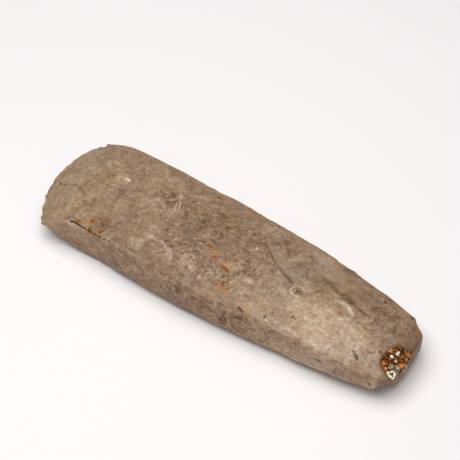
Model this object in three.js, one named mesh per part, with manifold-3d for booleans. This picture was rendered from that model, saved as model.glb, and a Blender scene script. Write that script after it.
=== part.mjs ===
/*
 * Polished flint axe: a thick-butted axe head, knapped from one nodule and ground smooth.
 * Millimetres, +Z up. It lies on its lower broad face. X runs from the cutting edge (-X) to the
 * butt (+X), and the origin is on the ground under the middle of the stone.
 *
 * The stone is one loft of four-sided cross sections: two domed broad faces and two narrow,
 * slightly swelling sides that meet in four arrises. Flake scars, the crystal hollow in the butt
 * and the small flat that it rests on are cut out of that loft.
 */
import * as THREE from "three";
import { LoftGeometry } from "three/addons/geometries/LoftGeometry.js";
import { mergeVertices } from "three/addons/utils/BufferGeometryUtils.js";
import Module from "manifold-3d";

// ---------------------------------------------------------------- driving dimensions
const LENGTH = 255; // cutting edge to butt
const MID_HEIGHT = 17.6; // the stone's middle plane over the ground
// plan radius of the convex cutting edge, on either side of its middle
const EDGE_ARC = { far: 62, near: 57 };
const EDGE_ARC_FADE = 110; // distance over which the edge's arc dies out in the sections behind it
const DOME_POWER = 2.3; // fall of a broad face from its crown to the arrises
const SIDE_SWELL = 0.075; // a side's swelling, as a share of its half height
const BUTT_ROUNDING = 12; // length over which the butt's corners are rounded off
const BUTT_BULGE_RADIUS = 90; // plan radius of the blunt end itself
const BUTT_BULGE_CENTRE = 3; // the blunt end's bulge lies a little to the far side
const BUTT_BULGE_FADE = 15;

// How much the blunt end draws in over the rounding.
const BUTT_DRAW = { far: 10.5, near: 12.5, side: 1.5, crown: 3, belly: 5 };

// Distance from the edge, half width on the far (+Y) and near (-Y) side, half height of the sides,
// and half thickness on the centre line.
const STATIONS = [
  { s: 0, far: 37.4, near: 36.8, side: 0.4, crown: 0.5 },
  { s: 12, far: 36.4, near: 35.2, side: 6.8, crown: 7.8 },
  { s: 28, far: 36.0, near: 33.6, side: 12.6, crown: 14.2 },
  { s: 50, far: 36.0, near: 33.2, side: 14.2, crown: 17.0 },
  { s: 80, far: 36.0, near: 34.4, side: 14.2, crown: 18.0 },
  { s: 115, far: 36.2, near: 35.2, side: 13.2, crown: 18.2 },
  { s: 150, far: 35.0, near: 33.4, side: 12.2, crown: 18.0 },
  { s: 180, far: 32.9, near: 31.5, side: 11.7, crown: 17.4 },
  { s: 205, far: 30.4, near: 30.0, side: 10.6, crown: 16.2 },
  { s: 225, far: 27.6, near: 28.2, side: 8.6, crown: 14.4 },
  { s: 245, far: 23.8, near: 25.4, side: 6.6, crown: 12.4 },
];

// ---------------------------------------------------------------- mesh fineness
const FACE_STEPS = 20; // across a broad face
const SIDE_STEPS = 6; // up a side
const EDGE_RINGS = 14; // cutting edge to the full thickness
const BODY_RINGS = 34;
const BUTT_RINGS = 14; // over the rounding of the butt
const EDGE_ZONE = 40;

const blend = new THREE.CubicInterpolant(
  STATIONS.map((station) => station.s),
  STATIONS.flatMap(({ far, near, side, crown }) => [far, near, side, crown]),
  4,
);

const sagitta = (radius, offset) =>
  radius - Math.sqrt(Math.max(0, radius ** 2 - offset ** 2));

// How far a section point is set back behind the foremost point of the cutting edge.
function edgeSetBack(s, y) {
  const radius = y > 0 ? EDGE_ARC.far : EDGE_ARC.near;
  return sagitta(radius, y) * Math.max(0, 1 - s / EDGE_ARC_FADE) ** 2;
}

function buttSetBack(s, y) {
  const share = Math.max(0, 1 - (LENGTH - s) / BUTT_BULGE_FADE);
  return sagitta(BUTT_BULGE_RADIUS, y - BUTT_BULGE_CENTRE) * share ** 2;
}

// One section, counterclockwise as seen from the butt: belly, far side, upper face, near side.
function section(s) {
  const last = STATIONS[STATIONS.length - 1].s;
  const [far, near, side, crown] = blend.evaluate(Math.min(s, last));
  const turn = Math.max(0, 1 - (LENGTH - s) / BUTT_ROUNDING);
  const draw = 1 - Math.sqrt(1 - turn ** 2);
  const farHalf = far - BUTT_DRAW.far * draw;
  const nearHalf = near - BUTT_DRAW.near * draw;
  const sideHalf = side - BUTT_DRAW.side * draw;
  const points = [];
  const put = (y, z) => {
    const x = s - LENGTH / 2 + edgeSetBack(s, y) - buttSetBack(s, y);
    points.push(new THREE.Vector3(x, y, MID_HEIGHT + z));
  };
  const broadFace = (sign, drawIn) => {
    const dome = Math.max(0, crown - drawIn * draw - sideHalf);
    for (let i = 0; i < FACE_STEPS; i++) {
      const across = sign * ((2 * i) / FACE_STEPS - 1);
      const y = across * (across > 0 ? farHalf : nearHalf);
      put(y, -sign * (sideHalf + dome * (1 - Math.abs(across) ** DOME_POWER)));
    }
  };
  const narrowSide = (sign, half) => {
    for (let i = 0; i < SIDE_STEPS; i++) {
      const up = sign * ((2 * i) / SIDE_STEPS - 1);
      put(sign * (half + SIDE_SWELL * sideHalf * (1 - up ** 2)), up * sideHalf);
    }
  };
  broadFace(1, BUTT_DRAW.belly);
  narrowSide(1, farHalf);
  broadFace(-1, BUTT_DRAW.crown);
  narrowSide(-1, nearHalf);
  return points;
}

// Distances of the sections: close together at the edge and round the butt's corners.
function sectionPlaces() {
  const buttZone = LENGTH - BUTT_ROUNDING;
  const places = [];
  for (let i = 0; i < EDGE_RINGS; i++)
    places.push(EDGE_ZONE * (i / EDGE_RINGS) ** 1.5);
  for (let i = 0; i < BODY_RINGS; i++)
    places.push(EDGE_ZONE + ((buttZone - EDGE_ZONE) * i) / BODY_RINGS);
  for (let i = 0; i <= BUTT_RINGS; i++)
    places.push(buttZone + BUTT_ROUNDING * Math.sin((Math.PI / 2) * (i / BUTT_RINGS)));
  return places;
}

// ---------------------------------------------------------------- flakes, chips and the hollow
// A flake cutter is a lens: an ellipsoid of which only the lowest quarter of its half height bites
// into the stone, so that it leaves a shallow shell-shaped scar of the given length and width.
const LENS_BITE = 4; // half height of the lens over the scar's depth
const LENS_REACH = Math.sqrt(1 - (1 - 1 / LENS_BITE) ** 2); // scar radius over the lens's radius

// at: the scar's middle on the stone's surface. out: the way the surface faces there.
// turn: the scar's long axis, in degrees round out, from the axe's own length.
const SCARS = [
  // struck off the side, under the near arris by the cutting edge
  { at: [-88, -35.2, 25.5], out: [0, -1, 0.35], length: 22, width: 9, depth: 0.8, turn: 4 },
  // the near arris, worn down by three flakes
  { at: [-16, -35.6, 30.6], out: [0, -1, 1.2], length: 46, width: 7, depth: 1.1, turn: 0 },
  { at: [14, -35.0, 29.6], out: [0.1, -1, 1], length: 30, width: 9, depth: 1.3, turn: -6 },
  { at: [36, -33.4, 29.2], out: [0, -1, 1.1], length: 20, width: 6, depth: 0.9, turn: 5 },
  // long facet and chip of the near lower arris
  { at: [-52, -34.2, 4.4], out: [0, -1, -0.9], length: 44, width: 7, depth: 0.8, turn: 0 },
  { at: [-72.5, -34.4, 4.2], out: [-0.3, -1, -0.6], length: 9, width: 7, depth: 1.4, turn: 0 },
  // notch in the far arris
  { at: [-27, 36.2, 31.2], out: [0, 1, 0.9], length: 13, width: 6, depth: 1.2, turn: 0 },
  { at: [92, 28.6, 26.6], out: [0, 1, 0.8], length: 26, width: 5, depth: 0.9, turn: 0 },
  // chips of the cutting edge
  { at: [-118.9, 31.6, 17.8], out: [-1, 0.5, 0.2], length: 4.6, width: 8, depth: 0.9, turn: 0 },
  { at: [-122.5, -21.5, 18.3], out: [-1, -0.4, 0.5], length: 4, width: 9, depth: 0.8, turn: 0 },
  { at: [-118.2, -29.5, 18.3], out: [-1, -0.6, 0.5], length: 4, width: 8, depth: 0.9, turn: 0 },
  { at: [-127.3, -7.5, 17.9], out: [-1, 0, 0.5], length: 3, width: 4, depth: 0.6, turn: 0 },
  // the butt, broken blunt by short steep flakes
  { at: [121.5, 20.5, 21], out: [1, 1.1, 0.3], length: 13, width: 14, depth: 1.6, turn: 0 },
  { at: [127.5, 8, 16], out: [1, 0.1, 0.2], length: 15, width: 18, depth: 1.2, turn: 30 },
  { at: [122, -19.5, 12.5], out: [1, -1, -0.5], length: 15, width: 18, depth: 2.0, turn: 0 },
  { at: [113, -24.5, 8.5], out: [0.3, -1, -0.7], length: 20, width: 9, depth: 1.3, turn: 0 },
  { at: [119, 3, 6.2], out: [0.8, 0, -1], length: 22, width: 34, depth: 1.8, turn: 0 },
];

// The hollow: a pocket once filled by crystals, open upwards and out of the butt's near corner.
const HOLLOW = { at: [122.6, -10.2, 28.4], half: [8.2, 9.4, 8.6], turn: -18, ripple: 0.09 };

const wasm = await Module();
wasm.setup();

const WELD = 1e-4; // points closer than this are one point

// A closed three.js geometry as a solid that can be cut.
function solidOf(geometry) {
  const bare = new THREE.BufferGeometry();
  bare.setAttribute("position", geometry.attributes.position);
  bare.setIndex(geometry.index);
  const welded = mergeVertices(bare, WELD);
  return new wasm.Manifold(
    new wasm.Mesh({
      numProp: 3,
      vertProperties: welded.attributes.position.array,
      triVerts: new Uint32Array(welded.index.array),
    }),
  );
}

function geometryOf(solid) {
  const mesh = solid.getMesh();
  const geometry = new THREE.BufferGeometry();
  geometry.setAttribute("position", new THREE.BufferAttribute(mesh.vertProperties, 3));
  geometry.setIndex(new THREE.BufferAttribute(mesh.triVerts, 1));
  return geometry;
}

function flakeCutter({ at, out, length, width, depth, turn }) {
  const up = new THREE.Vector3(...out).normalize();
  const along = new THREE.Vector3(1, 0, 0).projectOnPlane(up);
  if (along.length() < 0.3) along.set(0, 0, 1).projectOnPlane(up);
  along.normalize().applyAxisAngle(up, THREE.MathUtils.degToRad(turn));
  const across = new THREE.Vector3().crossVectors(up, along);
  const halfLength = length / 2 / LENS_REACH;
  const halfWidth = width / 2 / LENS_REACH;
  const centre = new THREE.Vector3(...at).addScaledVector(up, (LENS_BITE - 1) * depth);
  const place = new THREE.Matrix4()
    .makeBasis(along, across, up)
    .scale(new THREE.Vector3(halfLength, halfWidth, LENS_BITE * depth))
    .setPosition(centre);
  return new THREE.IcosahedronGeometry(1, 5).applyMatrix4(place);
}

function hollowCutter({ at, half, turn, ripple }) {
  const lump = new THREE.IcosahedronGeometry(1, 4);
  const position = lump.attributes.position;
  const point = new THREE.Vector3();
  for (let i = 0; i < position.count; i++) {
    point.fromBufferAttribute(position, i);
    const swell = 1 + ripple * Math.sin(4 * point.x + 1) * Math.cos(5 * point.y - 2 * point.z);
    point.multiplyScalar(swell);
    position.setXYZ(i, point.x, point.y, point.z);
  }
  return lump
    .scale(...half)
    .rotateZ(THREE.MathUtils.degToRad(turn))
    .translate(...at);
}

// ---------------------------------------------------------------- the stone
function stone() {
  const sections = sectionPlaces().map(section);
  const ground = new THREE.BoxGeometry(LENGTH, LENGTH, MID_HEIGHT).translate(0, 0, -MID_HEIGHT / 2);
  const cutters = [...SCARS.map(flakeCutter), hollowCutter(HOLLOW), ground];
  let solid = solidOf(new LoftGeometry(sections, { capStart: true, capEnd: true }));
  for (const cutter of cutters) solid = solid.subtract(solidOf(cutter));
  const geometry = geometryOf(solid);
  geometry.computeBoundingBox();
  const middle = geometry.boundingBox.getCenter(new THREE.Vector3());
  return geometry.translate(-middle.x, -middle.y, 0);
}

const flint = new THREE.MeshStandardMaterial({
  color: 0x968372,
  roughness: 0.55,
  metalness: 0,
  flatShading: true,
});

const axe = new THREE.Mesh(stone(), flint);
axe.name = "polished_flint_axe";

const part = new THREE.Group();
part.add(axe);

export default part;
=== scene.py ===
import itertools
import math

import bmesh
import bpy
import numpy as np
from mathutils import Euler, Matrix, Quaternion, Vector


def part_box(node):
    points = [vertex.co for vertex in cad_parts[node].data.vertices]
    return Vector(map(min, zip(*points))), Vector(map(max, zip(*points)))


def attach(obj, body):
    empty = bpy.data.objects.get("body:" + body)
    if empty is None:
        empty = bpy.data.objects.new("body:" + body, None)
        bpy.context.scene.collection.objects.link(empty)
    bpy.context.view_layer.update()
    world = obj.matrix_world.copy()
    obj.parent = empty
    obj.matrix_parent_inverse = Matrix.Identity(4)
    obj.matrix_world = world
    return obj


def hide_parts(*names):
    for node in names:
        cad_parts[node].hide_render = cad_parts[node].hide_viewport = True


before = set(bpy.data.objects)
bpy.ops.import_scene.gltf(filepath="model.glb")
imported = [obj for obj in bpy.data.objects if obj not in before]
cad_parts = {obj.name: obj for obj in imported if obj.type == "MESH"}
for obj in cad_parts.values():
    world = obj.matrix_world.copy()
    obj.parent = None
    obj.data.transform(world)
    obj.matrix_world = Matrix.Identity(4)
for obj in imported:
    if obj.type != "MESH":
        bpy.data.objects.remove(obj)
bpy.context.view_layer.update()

# Polished flint axe: the finished stone, in the frame's metres. Shapes are worked out in
# millimetres: x runs from the cutting edge to the butt, y across, z up from the ground.
MM = 0.001
AXE = "polished_flint_axe"
rng = np.random.default_rng(361)

# ------------------------------------------------------------------ camera, floor and light
CAMERA_TURN = math.radians(32.53)
CAMERA_HEIGHT = math.radians(55.0)
CAMERA_DISTANCE = 0.926
CAMERA_AIM = Vector((-0.01885, 0.03237, 0.0))
CAMERA_LENS = 114.26
SENSOR_WIDTH = 36.0
FLOOR_RADIUS = 4.0
FLOOR_TONE = (0.880, 0.871, 0.873)
FLOOR_SIDES = 64
ROOM_GLOW = 0.24
SOFTBOX_AT = (-0.05, -0.13, 1.1)
SOFTBOX_SIZE = (0.85, 0.85)
SOFTBOX_POWER = 12.8
SOFTBOX_TONE = (1.0, 0.99, 0.985)


def new_object(name, data):
    made = bpy.data.objects.new(name, data)
    bpy.context.scene.collection.objects.link(made)
    return made


def place_camera():
    data = bpy.data.cameras.new("camera")
    data.sensor_width = SENSOR_WIDTH
    data.lens = CAMERA_LENS
    data.clip_start = 0.01
    data.clip_end = 30
    camera = new_object("camera", data)
    back = Vector((
        math.sin(CAMERA_TURN) * math.cos(CAMERA_HEIGHT),
        -math.cos(CAMERA_TURN) * math.cos(CAMERA_HEIGHT),
        math.sin(CAMERA_HEIGHT),
    ))
    camera.location = CAMERA_AIM + back * CAMERA_DISTANCE
    camera.rotation_euler = back.to_track_quat("Z", "Y").to_euler()
    bpy.context.scene.camera = camera


def lay_floor():
    data = bpy.data.meshes.new("floor")
    ring = [2 * math.pi * i / FLOOR_SIDES for i in range(FLOOR_SIDES)]
    points = [(FLOOR_RADIUS * math.cos(a), FLOOR_RADIUS * math.sin(a), 0) for a in ring]
    data.from_pydata(points, [], [list(range(FLOOR_SIDES))])
    paper = bpy.data.materials.new("pale_paper")
    paper.use_nodes = True
    shader = paper.node_tree.nodes["Principled BSDF"]
    shader.inputs["Base Color"].default_value = (*FLOOR_TONE, 1)
    shader.inputs["Roughness"].default_value = 0.9
    shader.inputs["Specular IOR Level"].default_value = 0.1
    data.materials.append(paper)
    floor = new_object("floor", data)


def area_light(name, place, aim, size, power, tone):
    data = bpy.data.lights.new(name, "AREA")
    data.shape = "RECTANGLE"
    data.size, data.size_y = size
    data.energy = power
    data.color = tone
    lamp = new_object(name, data)
    lamp.location = place
    lamp.rotation_euler = (Vector(place) - Vector(aim)).to_track_quat("Z", "Y").to_euler()


def light_the_studio():
    world = bpy.data.worlds.new("studio")
    world.use_nodes = True
    nodes, links = world.node_tree.nodes, world.node_tree.links
    nodes.clear()
    out = nodes.new("ShaderNodeOutputWorld")
    mix = nodes.new("ShaderNodeMixShader")
    seen = nodes.new("ShaderNodeLightPath")
    glow = nodes.new("ShaderNodeBackground")
    wall = nodes.new("ShaderNodeBackground")
    glow.inputs["Color"].default_value = (1.0, 0.985, 0.98, 1)
    glow.inputs["Strength"].default_value = ROOM_GLOW
    wall.inputs["Color"].default_value = (0.92, 0.91, 0.91, 1)
    links.new(seen.outputs["Is Camera Ray"], mix.inputs[0])
    links.new(glow.outputs[0], mix.inputs[1])
    links.new(wall.outputs[0], mix.inputs[2])
    links.new(mix.outputs[0], out.inputs["Surface"])
    bpy.context.scene.world = world
    area_light("overhead_softbox", SOFTBOX_AT, (0, 0, 0), SOFTBOX_SIZE, SOFTBOX_POWER, SOFTBOX_TONE)
    bpy.context.scene.view_settings.view_transform = "Standard"


# ------------------------------------------------------------------ the stone's form
LENGTH = 255.0
MID_HEIGHT = 17.6
EDGE_ARC_FAR, EDGE_ARC_NEAR = 62.0, 57.0
EDGE_ARC_FADE = 110.0
DOME_POWER = 2.3
SIDE_SWELL = 0.075
BUTT_ROUNDING = 12.0
BUTT_BULGE_RADIUS = 90.0
BUTT_BULGE_CENTRE = 3.0
BUTT_BULGE_FADE = 15.0
DRAW_FAR, DRAW_NEAR, DRAW_SIDE, DRAW_CROWN, DRAW_BELLY = 10.5, 12.5, 1.5, 3.0, 5.0

# distance from the edge; half width on the far and the near side; half height of the sides;
# half thickness on the centre line
STATIONS = np.array((
    (0, 37.4, 36.8, 0.4, 0.5),
    (12, 36.4, 35.2, 6.8, 7.8),
    (28, 36.0, 33.6, 12.6, 14.2),
    (50, 36.0, 33.2, 14.2, 17.0),
    (80, 36.0, 34.4, 14.2, 18.0),
    (115, 36.2, 35.2, 13.2, 18.2),
    (150, 35.0, 33.4, 12.2, 18.0),
    (180, 32.9, 31.5, 11.7, 17.4),
    (205, 30.4, 30.0, 10.6, 16.2),
    (225, 27.6, 28.2, 8.6, 14.4),
    (245, 23.8, 25.4, 6.6, 12.4),
))

BELLY, FAR, UPPER, NEAR = range(4)
FACE_COLUMNS = {BELLY: 46, FAR: 22, UPPER: 112, NEAR: 40}


def stations_at(s):
    """Far, near, side and crown halves at the distances s, on one smooth curve each."""
    knots, values = STATIONS[:, 0], STATIONS[:, 1:]
    chord = np.diff(values, axis=0) / np.diff(knots)[:, None]
    slope = np.vstack((chord[:1], (chord[1:] + chord[:-1]) / 2, chord[-1:]))
    s = np.clip(s, 0, knots[-1])
    k = np.clip(np.searchsorted(knots, s, side="right") - 1, 0, len(knots) - 2)
    step = (knots[k + 1] - knots[k])[..., None]
    t = ((s - knots[k]) / (knots[k + 1] - knots[k]))[..., None]
    value = (
        (2 * t**3 - 3 * t**2 + 1) * values[k]
        + (t**3 - 2 * t**2 + t) * step * slope[k]
        + (3 * t**2 - 2 * t**3) * values[k + 1]
        + (t**3 - t**2) * step * slope[k + 1]
    )
    return np.moveaxis(value, -1, 0)


def halves_at(s):
    """Far half, near half, side half height, upper dome and belly dome at the distances s."""
    far, near, side, crown = stations_at(s)
    turn = np.clip(1 - (LENGTH - s) / BUTT_ROUNDING, 0, 1)
    draw = 1 - np.sqrt(1 - turn**2)
    side_half = side - DRAW_SIDE * draw
    upper_dome = np.maximum(0, crown - DRAW_CROWN * draw - side_half)
    belly_dome = np.maximum(0, crown - DRAW_BELLY * draw - side_half)
    return far - DRAW_FAR * draw, near - DRAW_NEAR * draw, side_half, upper_dome, belly_dome


def sagitta(radius, offset):
    return radius - np.sqrt(np.maximum(0, radius**2 - offset**2))


def sweep(s, y):
    """How far a point of section s lies from the plane of that section."""
    radius = np.where(y > 0, EDGE_ARC_FAR, EDGE_ARC_NEAR)
    edge = sagitta(radius, y) * np.maximum(0, 1 - s / EDGE_ARC_FADE) ** 2
    butt = np.maximum(0, 1 - (LENGTH - s) / BUTT_BULGE_FADE) ** 2
    return edge - sagitta(BUTT_BULGE_RADIUS, y - BUTT_BULGE_CENTRE) * butt


def ring_columns():
    """The face and the place from -1 to 1 across it, for each column of the stone's skin."""
    face, place = [], []
    for kind, steps in FACE_COLUMNS.items():
        across = np.linspace(-1, 1, steps, endpoint=False)
        if kind in (UPPER, NEAR):
            across = -across
        face += [kind] * steps
        place += list(across)
    return np.array(face), np.array(place)


def ring_distances():
    edge = 6 * (np.arange(12) / 12) ** 1.3
    body = np.linspace(6, LENGTH - BUTT_ROUNDING, 358, endpoint=False)
    butt = LENGTH - BUTT_ROUNDING * (1 - np.sin(np.linspace(0, math.pi / 2, 25)))
    return np.concatenate((edge, body, butt))


def skin_grid(face, place, s):
    """Points of the plain form, one row for each distance and one column for each place."""
    s, face, place = s[:, None], face[None, :], place[None, :]
    far, near, side, upper_dome, belly_dome = halves_at(s)
    half = np.where(place > 0, far, near)
    fall = 1 - np.abs(place) ** DOME_POWER
    swell = SIDE_SWELL * side * (1 - place**2)
    y = np.select(
        [face == FAR, face == NEAR], [far + swell, -(near + swell)], place * half
    )
    z = np.select(
        [face == BELLY, face == UPPER],
        [-(side + belly_dome * fall), side + upper_dome * fall],
        place * side,
    )
    x = s - LENGTH / 2 + sweep(s, y)
    return np.stack((x, y, MID_HEIGHT + z), axis=-1)


def arris_wear(face, place, s, points):
    """Rounds the four arrises over: a skin point near one moves a little way inwards."""
    far, near, side, _, _ = halves_at(s[:, None])
    broad = (face == BELLY) | (face == UPPER)
    half = np.where(broad, np.where(place > 0, far, near), side)
    gap = (1 - np.abs(place)) * half
    low = np.where(broad, face == BELLY, place < 0)
    left = np.where(broad, place < 0, face == NEAR)
    along = points[..., 0:1] + 40.0 * left[None, :, None] + 90.0 * low[None, :, None]
    uneven = soft_noise(np.repeat(along, 3, axis=-1) * (1, 0, 0), 11, 5)
    radius = np.where(left[None, :], 2.4 + 1.3 * uneven, 1.1 + 0.5 * uneven)
    radius = np.minimum(radius, 0.7 * side)
    depth = 0.26 * radius * np.clip(1 - gap / radius, 0, 1) ** 2
    inward = np.stack(
        (
            np.zeros(len(face)),
            np.where(left, 1.0, -1.0) * 0.7,
            np.where(low, 1.0, -1.0) * 0.7,
        ),
        axis=-1,
    )
    return points + depth[..., None] * inward[None]


# ------------------------------------------------------------------ noise in the stone
def lattice_value(cell, seed):
    h = cell[..., 0] * 73856093 ^ cell[..., 1] * 19349663 ^ cell[..., 2] * 83492791
    h = (h ^ seed * 2654435761) & 0xFFFFFFFF
    h = ((h ^ h >> 15) * 2246822519) & 0xFFFFFFFF
    h = ((h ^ h >> 13) * 3266489917) & 0xFFFFFFFF
    return ((h ^ h >> 16) & 0xFFFF) / 32767.5 - 1


def soft_noise(points, size, seed):
    """Noise from -1 to 1 in lumps about `size` millimetres across."""
    q = points / size
    cell = np.floor(q).astype(np.int64)
    f = q - cell
    f = f * f * (3 - 2 * f)
    total = 0
    for corner in itertools.product((0, 1), repeat=3):
        weight = np.prod(np.where(np.array(corner) == 1, f, 1 - f), axis=-1)
        total = total + weight * lattice_value(cell + np.array(corner), seed)
    return total


def layered_noise(points, size, seed, layers=3):
    total = sum(soft_noise(points, size / 2**k, seed + k) / 2**k for k in range(layers))
    return total / (2 - 0.5 ** (layers - 1))


# ------------------------------------------------------------------ flakes and chips
LENS_BITE = 4.0
ARRIS_SPALLS = 64
SIDE_SCARS = 46
LENS_REACH = math.sqrt(1 - (1 - 1 / LENS_BITE) ** 2)

# middle of the scar; the way the surface faces; length, width and depth; turn in degrees
SCARS = (
    ((-88, -35.2, 25.5), (0, -1, 0.35), 22, 9, 0.8, 4),
    ((-16, -35.6, 30.6), (0, -1, 1.2), 46, 7, 1.1, 0),
    ((14, -35.0, 29.6), (0.1, -1, 1), 30, 9, 1.3, -6),
    ((36, -33.4, 29.2), (0, -1, 1.1), 20, 6, 0.9, 5),
    ((-52, -34.2, 4.4), (0, -1, -0.9), 44, 7, 0.8, 0),
    ((-72.5, -34.4, 4.2), (-0.3, -1, -0.6), 9, 7, 1.4, 0),
    ((-27, 36.2, 31.2), (0, 1, 0.9), 13, 6, 1.2, 0),
    ((92, 28.6, 26.6), (0, 1, 0.8), 26, 5, 0.9, 0),
    ((-118.9, 31.6, 17.8), (-1, 0.5, 0.2), 4.6, 8, 0.9, 0),
    ((-122.5, -21.5, 18.3), (-1, -0.4, 0.5), 4, 9, 0.8, 0),
    ((-118.2, -29.5, 18.3), (-1, -0.6, 0.5), 4, 8, 0.9, 0),
    ((-127.3, -7.5, 17.9), (-1, 0, 0.5), 3, 4, 0.6, 0),
    ((-115.2, 32.4, 20.4), (-0.6, 0.9, 0.8), 5.5, 6.5, 1.0, 0),
    ((121.5, 20.5, 21), (1, 1.1, 0.3), 13, 14, 1.6, 0),
    ((127.5, 8, 16), (1, 0.1, 0.2), 15, 18, 1.2, 30),
    ((122, -19.5, 12.5), (1, -1, -0.5), 15, 18, 2.0, 0),
    ((113, -24.5, 8.5), (0.3, -1, -0.7), 20, 9, 1.3, 0),
    ((119, 3, 6.2), (0.8, 0, -1), 22, 34, 1.8, 0),
)


def strike_flake(points, at, out, length, width, depth, turn=0):
    """Moves the points inside a shallow lens onto its lower wall."""
    up = Vector(out).normalized()
    along = Vector((1, 0, 0)) - up * up.x
    if along.length < 0.3:
        along = Vector((0, 0, 1)) - up * up.z
    along.normalize()
    along.rotate(Quaternion(up, math.radians(turn)))
    axes = np.array((along, up.cross(along), up))
    reach = np.array((length / 2 / LENS_REACH, width / 2 / LENS_REACH, LENS_BITE * depth))
    centre = np.array(at) + axes[2] * (LENS_BITE - 1) * depth
    local = (points - centre) @ axes.T / reach
    inside = (local**2).sum(-1) < 1
    wall = -np.sqrt(np.maximum(0, 1 - local[..., 0] ** 2 - local[..., 1] ** 2))
    push = np.where(inside, (wall - local[..., 2]) * reach[2], 0)
    return points + push[..., None] * axes[2]


def edge_place(y):
    """A point of the cutting edge and the way the edge faces there."""
    radius = EDGE_ARC_FAR if y > 0 else EDGE_ARC_NEAR
    sine = y / radius
    cosine = math.sqrt(1 - sine**2)
    x = -LENGTH / 2 + radius * (1 - cosine)
    return (x, y, MID_HEIGHT), (-cosine, sine, 0.0)


# small chips of the cutting edge: place across it, width, depth
EDGE_CHIPS = (
    (34.5, 5.5, 1.6), (30.6, 2.4, 0.8), (24.0, 3.0, 0.5), (17.5, 2.2, 0.35), (11.0, 3.5, 0.5),
    (5.0, 2.4, 0.4), (-1.2, 1.6, 0.7), (-5.0, 2.0, 0.6), (-8.5, 3.2, 1.0), (-12.6, 2.4, 0.5),
    (-16.2, 3.0, 0.9), (-20.4, 3.2, 0.7), (-24.6, 3.6, 1.0), (-28.4, 3.0, 0.6), (-31.8, 3.2, 1.0),
    (-35.2, 2.6, 0.8),
)


def chip_edge(points):
    for y, width, depth in EDGE_CHIPS:
        at, out = edge_place(y)
        tilt = 0.9 * float(rng.uniform(-0.4, 1))
        points = strike_flake(points, at, (out[0], out[1], tilt), 3.4 + width * 0.4, width, depth, 90)
    return points


def chip_arrises(points):
    """Small spalls along the four arrises and round the butt."""
    for _ in range(ARRIS_SPALLS):
        s = float(rng.uniform(14, 246))
        far, near, side, _, _ = (float(v[0]) for v in halves_at(np.array([s])))
        upper, left = rng.random() < 0.6, rng.random() < 0.6
        y = -near if left else far
        at = (s - LENGTH / 2 + float(sweep(s, y)), y, MID_HEIGHT + (side if upper else -side))
        out = (float(rng.uniform(-0.3, 0.3)), -1 if left else 1, float(rng.uniform(0.4, 1.6)))
        out = (out[0], out[1], out[2] if upper else -out[2])
        length, depth = float(rng.uniform(3, 9)), float(rng.uniform(0.25, 0.6))
        points = strike_flake(points, at, out, length, length * 0.45, depth, float(rng.uniform(-15, 15)))
    return points


# shallow scars of the upper face: place along and across, length, width, depth, turn
FACE_SCARS = (
    (80, 2.2, 16, 7, 0.32, -18), (41, 8.5, 34, 19, 0.34, -10), (-50, -25, 12, 11, 0.22, 0),
    (-33, -24, 19, 11, 0.26, -8), (-14, -23, 13, 8, 0.2, 0), (9, 1.6, 14, 8, 0.2, 0),
    (38, -7, 10, 9, 0.2, 0), (109, 4, 14, 18, 0.26, 0), (-103, -18, 22, 14, 0.22, 50),
    (70, -22, 34, 15, 0.24, 0), (-70, 22, 34, 13, 0.24, 12), (-8, 22, 26, 14, 0.22, 8),
    (95, -26, 16, 9, 0.22, 0), (62, 24, 26, 9, 0.24, -8), (-118, 8, 12, 26, 0.2, 0),
    (13, -31, 20, 7, 0.3, 0), (-72, -26, 10, 14, 0.2, 20), (0, -12, 20, 10, 0.18, -12),
)


def upper_height(x, y):
    """Height of the plain form over a place of the upper face."""
    s = x + LENGTH / 2
    for _ in range(4):
        s = x + LENGTH / 2 - float(sweep(s, y))
    far, near, side, dome, _ = (float(v[0]) for v in halves_at(np.array([s])))
    half = far if y > 0 else near
    return MID_HEIGHT + side + dome * (1 - min(1.0, abs(y) / half) ** DOME_POWER)


def scar_faces(points):
    for x, y, length, width, depth, turn in FACE_SCARS:
        rise = upper_height(x, y + 2) - upper_height(x, y - 2)
        at = (x, y, upper_height(x, y))
        points = strike_flake(points, at, (0, -rise / 4, 1), length, width, depth, turn)
    return points


def scar_sides(points):
    """Old flake scars down both sides and over the belly, worn but still to be felt."""
    for _ in range(SIDE_SCARS):
        s = float(rng.uniform(16, 246))
        far, near, side, _, belly = (float(v[0]) for v in halves_at(np.array([s])))
        left, under = rng.random() < 0.55, rng.random() < 0.35
        length, width = float(rng.uniform(12, 30)), float(rng.uniform(7, 15))
        depth, turn = float(rng.uniform(0.18, 0.42)), float(rng.uniform(-35, 35))
        if under:
            y = float(rng.uniform(-0.75, 0.75)) * near
            up = -side - belly * (1 - abs(y / near) ** DOME_POWER)
            out = (0, 0.25 * y / near, -1)
        else:
            y = -near if left else far
            up = float(rng.uniform(-0.8, 0.8)) * side
            out = (0, -1 if left else 1, 0.15 * up / side)
        at = (s - LENGTH / 2 + float(sweep(s, y)), y, MID_HEIGHT + up)
        points = strike_flake(points, at, out, length, width, depth, turn)
    return points


# ------------------------------------------------------------------ building the skin
def skin_faces(rows, columns):
    near = np.arange(rows * columns).reshape(rows, columns)
    nxt = np.roll(near, -1, axis=1)
    quads = np.stack((near[:-1], nxt[:-1], nxt[1:], near[1:]), axis=-1)
    return quads.reshape(-1, 4)


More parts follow.
